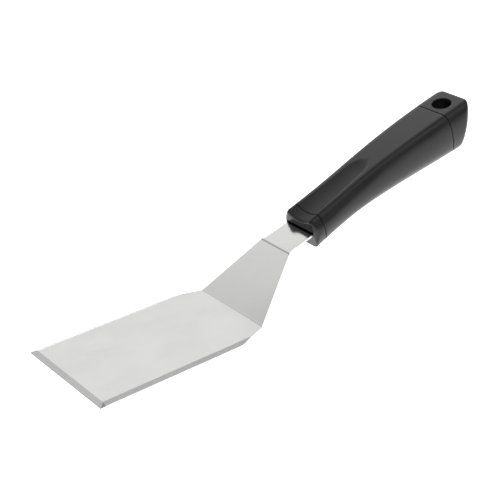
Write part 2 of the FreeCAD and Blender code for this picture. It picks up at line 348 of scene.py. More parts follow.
@dataclass(frozen=True)
class SatinSteel:
    """The blade's satin stainless, with the grinder's bands, partly painted reflection, and painted dark
    reflection lines at the folds.
    """

    colour: tuple[float, float, float] = (0.625, 0.623, 0.617)
    # ground bands' colours: their own ground finish, with the tip painted darker and the sides paler as
    # painted reflection
    tip_grind_and_reflection_colour: tuple[float, float, float] = (0.46, 0.46, 0.458)
    side_grind_and_reflection_colour: tuple[float, float, float] = (0.86, 0.86, 0.855)
    # painted reflection: the dark lines at the folds; also the darker tone of the ground bands' scratches
    fold_shade_and_scratch_colour: tuple[float, float, float] = (0.30, 0.30, 0.30)
    roughness: float = 0.15
    tip_band: float = 3.1 * MM
    side_band: float = 27.3 * MM
    first_fold: float = 100.5 * MM
    second_fold: float = 140.2 * MM
    # how far the painted dark fold lines reach on either side of a fold
    fold_shade_reach: float = 0.7 * MM
    scratch_depth: float = 0.22
    polish_waves: tuple[float, float, float] = (60.0, 5200.0, 1.0)
    hair_waves: tuple[float, float, float] = (220.0, 15000.0, 1.0)
    stain_waves: tuple[float, float, float] = (34.0, 46.0, 1.0)
    sheet_waves: tuple[float, float, float] = (26.0, 30.0, 1.0)
    side_scratch_waves: tuple[float, float, float] = (7000.0, 260.0, 1.0)
    tip_scratch_waves: tuple[float, float, float] = (260.0, 7000.0, 1.0)
    polish_depth: float = 0.0016 * MM
    hair_depth: float = 0.0006 * MM
    sheet_wave_depth: float = 0.02 * MM

    def material(self) -> bpy.types.Material:
        """Satin steel read from the sheet's unrolled length and width.

        The polish is noise drawn out along the sheet. The ground bands lie beyond two straight
        lines of the unrolled sheet, and their scratches run square to the edge; as painted reflection the
        tip band is darker and the side bands paler. Narrow dark bands at the folds are painted reflection
        of the bends.

        Returns:
            The material.
        """
        g = Graph("satin_steel")
        split = g.add("ShaderNodeSeparateXYZ")
        g.join(g.sheet_place(), split.inputs[0])
        along, across = split.outputs[0], split.outputs[1]
        tip = g.math("LESS_THAN", along, self.tip_band)
        side = g.math("GREATER_THAN", g.math("ABSOLUTE", across), self.side_band)
        ground = g.math("MAXIMUM", tip, side)
        flat_blade = g.math("LESS_THAN", along, self.first_fold)
        ground = g.math("MULTIPLY", ground, flat_blade)

        polish = g.noise(g.sheet_place(self.polish_waves), 1.0, 3.0, 0.65)
        fine = g.noise(g.sheet_place(self.hair_waves), 1.0, 2.0, 0.6)
        smudge = g.noise(g.sheet_place(self.stain_waves), 1.0, 4.0, 0.55)
        side_scratch = g.noise(g.sheet_place(self.side_scratch_waves), 1.0, 2.0, 0.6)
        tip_scratch = g.noise(g.sheet_place(self.tip_scratch_waves), 1.0, 2.0, 0.6)
        scratch = g.add("ShaderNodeMix", data_type="FLOAT")
        g.join(tip, scratch.inputs[0])
        g.join(side_scratch, scratch.inputs[2])
        g.join(tip_scratch, scratch.inputs[3])

        tone = g.remap(smudge, 0.25, 0.75, 0.955, 1.035)
        grain = g.remap(polish, 0.2, 0.8, 0.965, 1.03)
        shade = g.math("MULTIPLY", tone, grain)
        scale = g.add("ShaderNodeVectorMath", operation="SCALE")
        # painted reflection: dark lines across the sheet at both folds, where the bends reflect dark
        # surroundings
        near_second = g.math("ABSOLUTE", g.math("SUBTRACT", along, self.second_fold))
        fold_2_shade = g.remap(near_second, 0.0, self.fold_shade_reach, 1.0, 0.0)
        near_first = g.math("ABSOLUTE", g.math("SUBTRACT", along, self.first_fold + 0.6 * MM))
        fold_1_shade = g.remap(near_first, self.fold_shade_reach * 0.3, self.fold_shade_reach, 0.35, 0.0)
        fold_shade = g.math("MAXIMUM", fold_1_shade, fold_2_shade)
        ground_tone = g.remap(scratch.outputs[0], 0.25, 0.75, 0.0, 1.0)
        # ground bands' colour, with painted reflection: darker at the tip, paler at the sides
        grind_and_reflection_colour = g.mix(tip, self.side_grind_and_reflection_colour, self.tip_grind_and_reflection_colour)
        depth = g.math("MULTIPLY", ground_tone, self.scratch_depth)
        scratched_grind_and_reflection = g.mix(depth, grind_and_reflection_colour, self.fold_shade_and_scratch_colour)
        body = g.mix(ground, self.colour, scratched_grind_and_reflection)
        # lay the painted dark fold lines over the steel
        body = g.mix(fold_shade, body, self.fold_shade_and_scratch_colour)
        g.join(body, scale.inputs[0])
        g.join(shade, scale.inputs["Scale"])
        g.join(scale.outputs[0], g.shader.inputs["Base Color"])

        rough = g.remap(smudge, 0.2, 0.8, self.roughness - 0.03, self.roughness + 0.05)
        rough = g.math("ADD", rough, g.math("MULTIPLY", ground, 0.10))
        g.join(rough, g.shader.inputs["Roughness"])
        wave = g.bump(g.noise(g.sheet_place(self.sheet_waves), 1.0, 2.0, 0.5), self.sheet_wave_depth)
        lines = g.bump(polish, self.polish_depth, wave)
        hair = g.bump(fine, self.hair_depth, lines)
        g.join(hair, g.shader.inputs["Normal"])
        g.set(Metallic=1.0, IOR=2.5)
        return g.material


@dataclass(frozen=True)
class HandlePlastic:
    """The black moulded handle: satin, with the fine grain of the mould."""

    name: str = "black_moulding"
    colour: tuple[float, float, float] = (0.021, 0.021, 0.022)
    roughness: float = 0.30
    thumb_matt: float = 0.32
    drift_waves: float = 55.0
    swell_waves: float = 120.0
    pebble_waves: float = 5200.0
    swell_depth: float = 0.02 * MM
    pebble_depth: float = 0.0035 * MM
    thumb_colour: tuple[float, float, float] = (0.036, 0.036, 0.037)

    def material(self) -> bpy.types.Material:
        """Dark plastic whose colour and gloss drift a little, over a fine pebble of bumps.

        The attribute named thumb, 1 within the thumb recess, makes it paler and more matt there.

        Returns:
            The material.
        """
        g = Graph(self.name)
        place = g.object_place()
        drift = g.noise(place, self.drift_waves, 3.0, 0.55)
        pebble = g.noise(place, self.pebble_waves, 2.0, 0.6)
        wave = g.noise(place, self.swell_waves, 2.0, 0.5)
        light = tuple(1.18 * c for c in self.colour)
        dark = tuple(0.86 * c for c in self.colour)
        share = g.remap(drift, 0.25, 0.75, 0.0, 1.0)
        thumb = g.add("ShaderNodeAttribute", attribute_name="thumb").outputs["Fac"]
        g.join(g.mix(thumb, g.mix(share, dark, light), self.thumb_colour), g.shader.inputs["Base Color"])
        rough = g.remap(drift, 0.2, 0.8, self.roughness - 0.03, self.roughness + 0.04)
        rough = g.math("ADD", rough, g.remap(pebble, 0.2, 0.8, -0.02, 0.02))
        rough = g.math("ADD", rough, g.math("MULTIPLY", thumb, self.thumb_matt))
        g.join(rough, g.shader.inputs["Roughness"])
        swell = g.bump(wave, self.swell_depth)
        grain = g.bump(pebble, self.pebble_depth, swell)
        g.join(grain, g.shader.inputs["Normal"])
        g.set(IOR=1.465)
        return g.material


@dataclass(frozen=True)
class CorePlastic:
    """The hidden core's plain dark grey moulding."""

    colour: tuple[float, float, float] = (0.10, 0.10, 0.10)

    def material(self) -> bpy.types.Material:
        """Matt grey plastic with a coarse pebble.

        Returns:
            The material.
        """
        g = Graph("core_moulding")
        pebble = g.noise(g.object_place(), 1800.0, 2.0, 0.6)
        share = g.remap(pebble, 0.25, 0.75, 0.0, 1.0)
        g.join(g.mix(share, tuple(0.9 * c for c in self.colour), tuple(1.1 * c for c in self.colour)),
               g.shader.inputs["Base Color"])
        g.join(g.bump(pebble, 0.01 * MM), g.shader.inputs["Normal"])
        g.set(Roughness=0.62)
        return g.material


@dataclass(frozen=True)
class TurnedSteel:
    """The pins' turned steel."""

    colour: tuple[float, float, float] = (0.55, 0.55, 0.54)

    def material(self) -> bpy.types.Material:
        """Steel with fine rings across the pins' length.

        Returns:
            The material.
        """
        g = Graph("turned_steel")
        rings = g.noise(g.object_place((300.0, 300.0, 9000.0)), 1.0, 2.0, 0.6)
        share = g.remap(rings, 0.25, 0.75, 0.0, 1.0)
        g.join(g.mix(share, tuple(0.9 * c for c in self.colour), tuple(1.08 * c for c in self.colour)),
               g.shader.inputs["Base Color"])
        g.join(g.bump(rings, 0.002 * MM), g.shader.inputs["Normal"])
        g.set(Metallic=1.0, Roughness=0.34)
        return g.material


# ------------------------------------------------------------------ blade
@dataclass
class Blade:
    """The stainless sheet: flat ground blade, riser, neck and the tang inside the handle (mm)."""

    sheet: float = 1.2
    length: float = 100.5
    width: float = 60.0
    shoulder_length: float = 83.7
    shoulder_radius: float = 15.0
    fold_1_width: float = 48.4
    fold_2_width: float = 21.6
    neck_width: float = 19.6
    neck_fillet: float = 6.0
    riser_pitch: float = 41.7
    riser_length: float = 39.7
    neck_pitch: float = 15.0
    neck_length: float = 17.8
    fold_radius: float = 1.0
    edge_land: float = 0.3
    tip_grind: float = 3.1
    side_grind: float = 2.7
    tang_width: float = 13.0
    tang_step: float = 4.0
    tang_length: float = 68.0
    tang_round: float = 2.5
    rim_radius: float = 0.13

    def corner(self, number: int) -> np.ndarray:
        """A corner (x, z) of the upper face's side view.

        Args:
            number: 0 for the tip, 1 and 2 for the folds, 3 at the collar's face, 4 at the tang's end.

        Returns:
            The corner, each straight run added to the last.
        """
        run = [self.length, self.riser_length, self.neck_length, self.tang_length]
        pitch = [0.0, self.riser_pitch, self.neck_pitch, self.neck_pitch]
        place = np.array([-self.length / 2.0, self.sheet])
        for distance, angle in list(zip(run, pitch))[:number]:
            turn = math.radians(angle)
            place = place + distance * np.array([math.cos(turn), math.sin(turn)])
        return place

    def path(self) -> tuple[np.ndarray, np.ndarray, np.ndarray]:
        """The sheet's middle line: straight runs joined by arcs of the fold radius plus half a sheet.

        Returns:
            Places (x, z), the pitch at each in radians, and the unrolled length at each.
        """
        half = self.sheet / 2.0
        radius = self.fold_radius + half
        pitches = [0.0, math.radians(self.riser_pitch), math.radians(self.neck_pitch)]
        corners = [self.corner(0) - [0.0, half]]
        for number in (1, 2):
            mean = (pitches[number - 1] + pitches[number]) / 2.0
            gap = half / math.cos((pitches[number] - pitches[number - 1]) / 2.0)
            corners.append(self.corner(number) + gap * np.array([math.sin(mean), -math.cos(mean)]))
        corners.append(self.corner(4) + half * np.array([math.sin(pitches[2]), -math.cos(pitches[2])]))
        trims = [0.0]
        trims += [radius * math.tan(abs(pitches[n] - pitches[n - 1]) / 2.0) for n in (1, 2)]
        trims.append(0.0)
        places, angles = [], []
        for run in range(3):
            toward = np.array([math.cos(pitches[run]), math.sin(pitches[run])])
            start = corners[run] + toward * trims[run]
            end = corners[run + 1] - toward * trims[run + 1]
            span = float(np.linalg.norm(end - start))
            steps = self.run_steps(run, span)
            places.append(start + np.outer(steps, toward))
            angles.append(np.full(len(steps), pitches[run]))
            if run < 2:
                turn = pitches[run + 1] - pitches[run]
                side = math.copysign(1.0, turn)
                centre = end + side * radius * np.array([-toward[1], toward[0]])
                swing = np.linspace(0.0, 1.0, 12)[1:-1] * turn + pitches[run]
                offset = side * radius * np.stack([np.sin(swing), -np.cos(swing)], axis=1)
                places.append(centre + offset)
                angles.append(swing)
        place = np.concatenate(places)
        angle = np.concatenate(angles)
        unrolled = np.concatenate([[0.0], np.cumsum(np.linalg.norm(np.diff(place, axis=0), axis=1))])
        return place, angle, unrolled

    def run_steps(self, run: int, span: float) -> np.ndarray:
        """Distances along one straight run, finer where the outline or the grinding changes.

        Args:
            run: 0 for the flat blade, 1 for the riser, 2 for the neck and tang.
            span: the run's length.

        Returns:
            The distances, both ends included.
        """
        if run == 0:
            edge = np.array([0.0, 0.03, 0.08, 0.16, 0.3])
            band = np.linspace(0.6, self.tip_grind, 8)
            after = self.tip_grind + np.array([0.05])
            flat = rows_between(self.tip_grind + 1.5, self.shoulder_length - 4.5, 3.0)
            shoulder = rows_between(self.shoulder_length - 4.0, span, 0.4)
            return np.concatenate([edge, band, after, flat, shoulder])
        if run == 1:
            return rows_between(0.0, span, 1.5)
        neck = rows_between(0.0, 8.0, 0.4)
        step = self.neck_length + self.tang_step
        return np.concatenate([
            neck,
            rows_between(8.8, step - 1.4, 1.5),
            rows_between(step - 1.2, step + 1.2, 0.1),
            rows_between(step + 2.0, span - 3.2, 4.0),
            rows_between(span - 3.0, span, 0.3),
        ])

    def outline(self) -> tuple[np.ndarray, np.ndarray]:
        """Half the width against x: straight lines with a circle's arc in each rounded corner.

        Returns:
            The outline's x, rising, and half the width at each.
        """
        fold_1, fold_2, face, end = (self.corner(n)[0] for n in (1, 2, 3, 4))
        pitch = math.cos(math.radians(self.neck_pitch))
        neck = fold_2 + 2.2 * pitch
        step = face + self.tang_step * pitch
        nudge = 0.001
        points = np.array([
            (-self.length / 2.0, self.width / 2.0),
            (-self.length / 2.0 + self.shoulder_length, self.width / 2.0),
            (fold_1, self.fold_1_width / 2.0),
            (fold_2, self.fold_2_width / 2.0),
            (neck, self.neck_width / 2.0),
            (step, self.neck_width / 2.0),
            (step + nudge, self.tang_width / 2.0),
            (end, self.tang_width / 2.0),
        ])
        radii = [0.0, self.shoulder_radius, 0.0, 0.0, self.neck_fillet, 0.9, 0.9, 0.0]
        xs, ys = [], []
        for number, (place, radius) in enumerate(zip(points, radii)):
            if radius == 0.0:
                xs.append([place[0]])
                ys.append([place[1]])
                continue
            before = points[number - 1] - place
            after = points[number + 1] - place
            before, after = before / np.linalg.norm(before), after / np.linalg.norm(after)
            half = math.acos(float(np.clip(before @ after, -1.0, 1.0))) / 2.0
            middle = (before + after) / np.linalg.norm(before + after)
            centre = place + middle * radius / math.sin(half)
            first = place + before * radius / math.tan(half) - centre
            last = place + after * radius / math.tan(half) - centre
            share = np.linspace(0.0, 1.0, 24)[:, None]
            arc = first * (1.0 - share) + last * share
            arc = centre + radius * arc / np.linalg.norm(arc, axis=1, keepdims=True)
            xs.append(arc[:, 0])
            ys.append(arc[:, 1])
        return np.concatenate(xs), np.concatenate(ys)

    def surface(self) -> tuple[np.ndarray, np.ndarray]:
        """The closed skin: at each place on the path one loop round the sheet's cross-section.

        The upper half of a loop lies at half a sheet above the middle line, lowered by the two
        ground planes; the lower half lies half a sheet below; a small round joins them.

        Returns:
            Points (rows, columns, 3) in metres, and the unrolled (length, width) of each.
        """
        place, angle, unrolled = self.path()
        xs, ys = self.outline()
        half_width = np.interp(place[:, 0], xs, ys)
        round_start = self.corner(4)[0] - self.tang_round
        fade = 1.0 - np.clip((place[:, 0] - round_start) / self.tang_round, 0.0, 1.0) ** 2
        rounded = self.tang_width / 2.0 - self.tang_round * (1.0 - np.sqrt(np.maximum(fade, 0.0)))
        half_width = np.where(place[:, 0] > round_start, rounded, half_width)
        half = self.sheet / 2.0
        from_tip = unrolled[:, None]
        inner = np.minimum(self.width / 2.0 - self.side_grind, half_width - 0.45)[:, None]
        rim = self.rim_radius
        share = np.linspace(0.0, 1.0, 15)[None, :]
        across = np.concatenate([
            inner * share,
            inner + 0.04 + (half_width[:, None] - rim - inner - 0.04) * np.linspace(0.0, 1.0, 7)[None, :],
        ], axis=1)
        flat_blade = from_tip < self.length
        ground_off = self.sheet - self.edge_land
        past_line = np.maximum(0.0, np.abs(across) - (self.width / 2.0 - self.side_grind))
        side_cut = past_line * ground_off / self.side_grind
        tip_cut = np.maximum(0.0, self.tip_grind - from_tip) * ground_off / self.tip_grind
        cut = np.where(flat_blade, np.maximum(side_cut, tip_cut), 0.0)
        tip_round = np.minimum(rim, self.edge_land / 2.0)
        to_round = np.maximum(0.0, tip_round - from_tip)
        tip_drop = tip_round - np.sqrt(np.maximum(0.0, tip_round**2 - to_round**2))
        upper = half - cut - tip_drop
        lower = -half + tip_drop + 0.0 * across
        swing = np.linspace(0.0, 1.0, 7)[1:-1][None, :] * math.pi / 2.0
        edge_round = np.minimum(rim, (upper[:, -1:] - lower[:, -1:]) / 2.0)
        edge = across[:, -1:]
        top_rim_y = edge + rim * np.sin(swing)
        top_rim_n = upper[:, -1:] - edge_round * (1.0 - np.cos(swing))
        low_rim_n = lower[:, -1:] + edge_round * (1.0 - np.cos(swing))
        wall_y = edge + rim
        right_y = np.concatenate([across, top_rim_y, wall_y,
                                  wall_y, top_rim_y[:, ::-1], across[:, ::-1]], axis=1)
        right_n = np.concatenate([upper, top_rim_n, upper[:, -1:] - edge_round, lower[:, -1:] + edge_round,
                                  low_rim_n[:, ::-1], lower[:, ::-1]], axis=1)
        y = np.concatenate([right_y, -right_y[:, -2:0:-1]], axis=1)
        n = np.concatenate([right_n, right_n[:, -2:0:-1]], axis=1)
        normal = np.stack([-np.sin(angle), np.cos(angle)], axis=1)
        x = place[:, 0:1] + n * normal[:, 0:1]
        z = place[:, 1:2] + n * normal[:, 1:2]
        sheet = np.stack([np.broadcast_to(from_tip, y.shape), y], axis=-1)
        return np.stack([x, y, z], axis=-1) * MM, sheet * MM

    def build(self) -> bpy.types.Object:
        """Make the piece, give it its unrolled map and its finish.

        Returns:
            The blade's object.
        """
        points, sheet = self.surface()
        piece = Grid(points, cap_ends=True).to_object("blade_sheet")
        uv = piece.data.uv_layers.new(name="sheet")
        loops = np.empty(len(piece.data.loops), np.int32)
        piece.data.loops.foreach_get("vertex_index", loops)
        uv.data.foreach_set("uv", sheet.reshape(-1, 2)[loops].ravel().astype(np.float32))
        crisp_over(piece, 14.0)
        piece.data.materials.append(SatinSteel().material())
        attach(piece, "root")
        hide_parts("blade")
        return piece


# ------------------------------------------------------------------ handle
@dataclass(frozen=True)
class HandleShape:
    """The handle's outer form in its own frame: s along it, y across, h square to the tang (mm).

    Each station holds s, the top, the bottom, half the width that the upper corner's arc would
    have with upright sides, and the upper and lower corners' radii. Between stations every value
    follows a natural spline. The side is a long arc that touches both corner arcs.
    """

    origin: tuple[float, float] = (97.085, 32.2166)
    pitch: float = 15.0
    stations: tuple[tuple[float, ...], ...] = (
        (-3.0, 7.8, -9.0, 11.2, 4.5, 2.0),
        (7.0, 8.4, -7.7, 11.3, 4.6, 3.6),
        (25.0, 10.1, -6.5, 10.8, 4.1, 5.4),
        (45.0, 12.4, -6.8, 10.9, 4.0, 7.0),
        (65.0, 14.2, -8.0, 11.7, 4.4, 8.4),
        (85.0, 15.2, -9.0, 12.5, 4.8, 8.4),
        (107.0, 15.7, -9.3, 13.1, 5.3, 6.2),
        (128.0, 15.8, -10.6, 13.1, 5.3, 5.6),
    )
    bulge: float = 1.35
    widest_down: float = 0.56
    least_corner: float = 0.8
    recess_radius: float = 14.7
    recess_front: tuple[float, float] = (-6.0, 4.6)
    recess_turn: tuple[float, float] = (43.5, 11.1)
    recess_end_radius: float = 46.0
    crest_round: float = 0.22
    narrow: float = 2.2
    spread: float = 5.6
    spread_reach: float = 16.0

    def station_values(self, s: np.ndarray) -> list[np.ndarray]:
        """Top, bottom, half width, and the upper and lower corner radii at s.

        Args:
            s: places along the handle.

        Returns:
            One array for each of the five values.
        """
        table = np.array(self.stations)
        return [natural_spline(table[:, 0], table[:, column], s) for column in range(1, 6)]

    def arcs(self, s: np.ndarray, inset: np.ndarray) -> dict[str, np.ndarray]:
        """The section's arcs at s, every one moved inwards by the inset.

        The side's arc has its widest point part of the way down. Its radius is the one that
        brings it tangent to the upper corner's arc while standing the bulge beyond it:
        (depth squared + bulge squared) / (2 bulge) more than the corner's radius.

        Args:
            s: places along the handle.
            inset: how far inside the outer face.

        Returns:
            Centres (y, h), radii and the angles where the arcs meet, by name.
        """
        top, bottom, half, upper, lower = self.station_values(s)
        upper_y, upper_h = half - upper, top - upper
        widest = top - self.widest_down * (top - bottom)
        depth = upper_h - widest
        reach = (depth**2 + self.bulge**2) / (2.0 * self.bulge)
        side = upper + reach
        side_y = half + self.bulge - side
        lower_h = bottom + lower
        drop = widest - lower_h
        lower_y = side_y + np.sqrt(np.maximum(0.0, (side - lower) ** 2 - drop**2))
        return {
            "top": top - inset, "bottom": bottom + inset,
            "upper_y": upper_y, "upper_h": upper_h, "upper": np.maximum(upper - inset, self.least_corner),
            "side_y": side_y, "side_h": widest, "side": side - inset,
            "lower_y": lower_y, "lower_h": lower_h, "lower": np.maximum(lower - inset, self.least_corner),
            "shoulder_angle": np.arcsin(depth / reach), "heel_angle": -np.arcsin(drop / (side - lower)),
        }

    def recess(self, s: np.ndarray, y: np.ndarray, inset: np.ndarray) -> np.ndarray:
        """Height of the thumb recess at (s, y).

        The recess is spun about an axis above it: the radius is constant, then falls along a
        circle's arc. Depth below the axis and place along it are found in turn, a few times.

        Args:
            s: places along the handle.
            y: distances from the middle.
            inset: how far inside the outer face.

        Returns:
            The heights.
        """
        front, turn = np.array(self.recess_front), np.array(self.recess_turn)
        toward = (turn - front) / np.linalg.norm(turn - front)
        upward = np.array([-toward[1], toward[0]])
        axis = front + upward * self.recess_radius
        straight = float((turn - front) @ toward)
        over = self.recess_end_radius - self.recess_radius
        depth = -(self.recess_radius + inset) + 0.0 * s + 0.0 * y
        for _ in range(8):
            run = (s - axis[0] - depth * upward[0]) / toward[0]
            past = np.maximum(0.0, run - straight)
            end = np.sqrt(np.maximum(0.0, (self.recess_end_radius + inset) ** 2 - past**2)) - over
            end = np.maximum(0.0, end)
            depth = -np.sqrt(np.maximum(0.0, end**2 - y**2))
        return axis[1] + run * toward[1] + depth * upward[1]

    def outer(self, s: np.ndarray, y: np.ndarray, inset: np.ndarray) -> np.ndarray:
        """Height of the section's top at (s, y), its upper corner's arc included.

        Args:
            s: places along the handle.
            y: distances from the middle.
            inset: how far inside the outer face.

        Returns:
            The heights.
        """
        arc = self.arcs(s, inset)
        beyond = np.clip((y - arc["upper_y"]) / arc["upper"], 0.0, 1.0)
        return arc["top"] - arc["upper"] * (1.0 - np.sqrt(1.0 - beyond**2))

    def carved(self, s: np.ndarray, y: np.ndarray, inset: np.ndarray, skin: np.ndarray) -> np.ndarray:
        """The lower of the skin and the recess, their crossing rounded off.

        Where the two lie within the rounding of each other, the height drops by the square of
        what is left of the rounding over four times the rounding.

        Args:
            s: places along the handle.
            y: distances from the middle.
            inset: how far inside the outer face.
            skin: the section's height without the recess.

        Returns:
            The heights with the recess.
        """
        hollow = self.recess(s, y, inset)
        near = np.maximum(0.0, self.crest_round - np.abs(skin - hollow))
        return np.minimum(skin, hollow) - near**2 / (4.0 * self.crest_round)

    def crest(self, s: np.ndarray, inset: np.ndarray) -> np.ndarray:
        """Distance from the middle where the recess meets the outside, found by halving.

        Args:
            s: places along the handle.
            inset: how far inside the outer face.

        Returns:
            The distances, nearly 0 where there is no recess.
        """
        low = np.zeros_like(s + inset)
        high = self.station_values(s)[2] - inset - 0.4
        for _ in range(30):
            middle = (low + high) / 2.0
            inside = self.recess(s, middle, inset) < self.outer(s, middle, inset)
            low = np.where(inside, middle, low)
            high = np.where(inside, high, middle)
        return (low + high) / 2.0

    def narrowest(self) -> tuple[float, float]:
        """Where the crest has closed in to the narrow width, and where the recess ends.

        Returns:
            The two places along the handle.
        """
        s = np.linspace(44.0, 56.0, 1201)
        crest = self.crest(s, np.zeros_like(s))
        return float(np.interp(-self.narrow, -crest, s)), float(s[crest > 0.02][-1])

    def tip_line(self, y: np.ndarray) -> np.ndarray:
        """Where the recess ends at a distance y from the middle, for y up to the narrow width.

        Args:
            y: distances from the middle.

        Returns:
            Places along the handle.
        """
        s = np.linspace(48.0, 56.0, 1601)
        crest = self.crest(s, np.zeros_like(s))
        return np.interp(-y, -crest, s)

    def boundary(self, s: np.ndarray, inset: np.ndarray) -> np.ndarray:
        """Half the width of the middle columns: the crest, then a slow spread behind the tip.

        Args:
            s: places along the handle.
            inset: how far inside the outer face.

        Returns:
            The half widths.
        """
        crest = self.crest(s, inset)
        near, _ = self.narrowest()
        behind = self.narrow + (self.spread - self.narrow) * smoothstep(near, near + self.spread_reach, s)
        return np.where(s > near, behind, np.maximum(crest, self.narrow))


@dataclass(frozen=True)
class Columns:
    """How the columns go round half a section: middle, shoulder, side, lower corner, bottom."""

    middle: int = 20
    shoulder: int = 32
    side: int = 12
    lower: int = 10
    bottom: int = 9

    def zones(self) -> tuple[np.ndarray, np.ndarray]:
        """The zone number and the share of it done, for each column of the right half.

        Returns:
            Zones from 0 to 4 and shares from 0 to 1.
        """
        counts = (self.middle, self.shoulder, self.side, self.lower, self.bottom)
        zone = np.repeat(np.arange(5), counts)
        share = np.concatenate([np.arange(n) / n for n in counts])
        return np.append(zone, 4), np.append(share, 1.0)


@dataclass
class Moulding:
    """Shared work of the handle's mouldings: sections carried along a path of places and insets."""

    plastic: bpy.types.Material
    shape: HandleShape = field(default_factory=HandleShape)
    columns: Columns = field(default_factory=Columns)
    middle_crowding: float = 1.5
    shoulder_crowding: float = 1.35
    crisp_angle: float = 38.0

    def section(self, s: np.ndarray, inset: np.ndarray) -> tuple[np.ndarray, np.ndarray]:
        """The right half of the sections, from the middle of the top to the middle of the bottom.

        Args:
            s: place of every point along the handle, rows by columns.
            inset: how far each point lies inside the outer face.

        Returns:
            The points' y and h, rows by columns.
        """
        zone, share = self.columns.zones()
        arc = self.shape.arcs(s, inset)
        edge = self.shape.boundary(s, inset)
        middle_y = edge * (1.0 - (1.0 - share) ** self.middle_crowding)
        over = np.clip((edge - arc["upper_y"]) / arc["upper"], -1.0, 1.0)
        start = np.where(edge > arc["upper_y"], np.arccos(over), np.pi / 2.0)
        flat = np.maximum(0.0, arc["upper_y"] - edge)
        total = flat + arc["upper"] * (start - arc["shoulder_angle"])
        walked = total * share**self.shoulder_crowding
        angle = start - np.maximum(0.0, walked - flat) / arc["upper"]
        shoulder_y = np.where(walked < flat, edge + walked, arc["upper_y"] + arc["upper"] * np.cos(angle))
        shoulder_h = np.where(walked < flat, arc["top"], arc["upper_h"] + arc["upper"] * np.sin(angle))
        side_angle = arc["shoulder_angle"] + (arc["heel_angle"] - arc["shoulder_angle"]) * share
        side_y = arc["side_y"] + arc["side"] * np.cos(side_angle)
        side_h = arc["side_h"] + arc["side"] * np.sin(side_angle)
        heel_angle = arc["heel_angle"] - (np.pi / 2.0 + arc["heel_angle"]) * share
        heel_y = arc["lower_y"] + arc["lower"] * np.cos(heel_angle)
        heel_h = arc["lower_h"] + arc["lower"] * np.sin(heel_angle)
        zones = np.broadcast_to(zone, s.shape)
        choice = [zones == number for number in range(5)]
        middle_h = self.shape.outer(s, middle_y, inset)
        y = np.select(choice, [middle_y, shoulder_y, side_y, heel_y, arc["lower_y"] * (1.0 - share)])
        skin = np.select(choice, [middle_h, shoulder_h, side_h, heel_h, arc["bottom"]])
        return y, np.where(zones <= 1, self.shape.carved(s, y, inset, skin), skin)

    def tip_shift(self, s: np.ndarray, y: np.ndarray, reach: float = 5.0) -> np.ndarray:
        """Bend the rows near the recess's tip so that one of them follows its rounded end.

        The shift is the tip line's lead over the narrow place, fading both ways along the handle.

        Args:
            s: places along the handle.
            y: distances from the middle.
            reach: how far from the narrow place the shift fades out.

        Returns:
            What to add to each s.
        """
        near, _ = self.shape.narrowest()
        lead = self.shape.tip_line(np.minimum(y, self.shape.narrow)) - near
        fade = np.clip(1.0 - np.abs(s - near) / reach, 0.0, 1.0)
        return np.where(y < self.shape.narrow, lead, 0.0) * fade**2 * (3.0 - 2.0 * fade)

    def carried(self, path: np.ndarray, bend_tip: bool = False) -> np.ndarray:
        """Sections at each (s, inset) of a path, both halves, in metres in the part's frame.

        Args:
            path: one (s, inset) per row.
            bend_tip: whether rows near the recess's tip follow its rounded end.

        Returns:
            Points, rows by columns by three.
        """
        count = len(self.columns.zones()[0])
        s = np.repeat(path[:, 0:1], count, axis=1)
        inset = np.repeat(path[:, 1:2], count, axis=1)
        return self.placed(*self.both_halves(s, inset, bend_tip))

    def both_halves(self, s: np.ndarray, inset: np.ndarray,
                    bend_tip: bool = False) -> tuple[np.ndarray, np.ndarray, np.ndarray]:
        """The whole loop of each row: the right half, then its mirror image.

        Args:
            s: place of every point along the handle.
            inset: how far each lies inside the outer face.
            bend_tip: whether rows near the recess's tip follow its rounded end.

        Returns:
            s, y and h of both halves.
        """
        y, h = self.section(s, inset)
        if bend_tip:
            s = s + self.tip_shift(s, y)
            y, h = self.section_at(s, inset, y)
        return self.mirrored(s, y, h)

    def section_at(self, s: np.ndarray, inset: np.ndarray, y: np.ndarray) -> tuple[np.ndarray, np.ndarray]:
        """The sections again at moved places, the middle columns keeping their y.

        Args:
            s: the moved places.
            inset: how far each point lies inside the outer face.
            y: the points' distances from the middle before the move.

        Returns:
            The points' y and h.
        """
        fresh_y, fresh_h = self.section(s, inset)
        middle = np.broadcast_to(self.columns.zones()[0] == 0, s.shape)
        kept_h = self.shape.carved(s, y, inset, self.shape.outer(s, y, inset))
        return np.where(middle, y, fresh_y), np.where(middle, kept_h, fresh_h)

    @staticmethod
    def mirrored(s: np.ndarray, y: np.ndarray, h: np.ndarray) -> tuple[np.ndarray, np.ndarray, np.ndarray]:
        """Add the left half of every row: the right half backwards, with y changing sign.

        Args:
            s: place along the handle of every point of the right half.
            y: its distance from the middle.
            h: its height.

        Returns:
            The three arrays with both halves.
        """
        whole_s, left_y, whole_h = (np.concatenate([a, a[:, -2:0:-1]], axis=1) for a in (s, -y, h))
        whole_y = np.concatenate([y, left_y[:, y.shape[1]:]], axis=1)
        return whole_s, whole_y, whole_h

    def placed(self, s: np.ndarray, y: np.ndarray, h: np.ndarray) -> np.ndarray:
        """Points of the handle's frame turned by its pitch and moved to the collar's face.

        Args:
            s: place along the handle.
            y: distance across.
            h: height square to the tang.

        Returns:
            Points in metres in the part's frame.
        """
        pitch = math.radians(self.shape.pitch)
        x = self.shape.origin[0] + s * math.cos(pitch) - h * math.sin(pitch)
        z = self.shape.origin[1] + s * math.sin(pitch) + h * math.cos(pitch)
        return np.stack([x, y, z], axis=-1) * MM

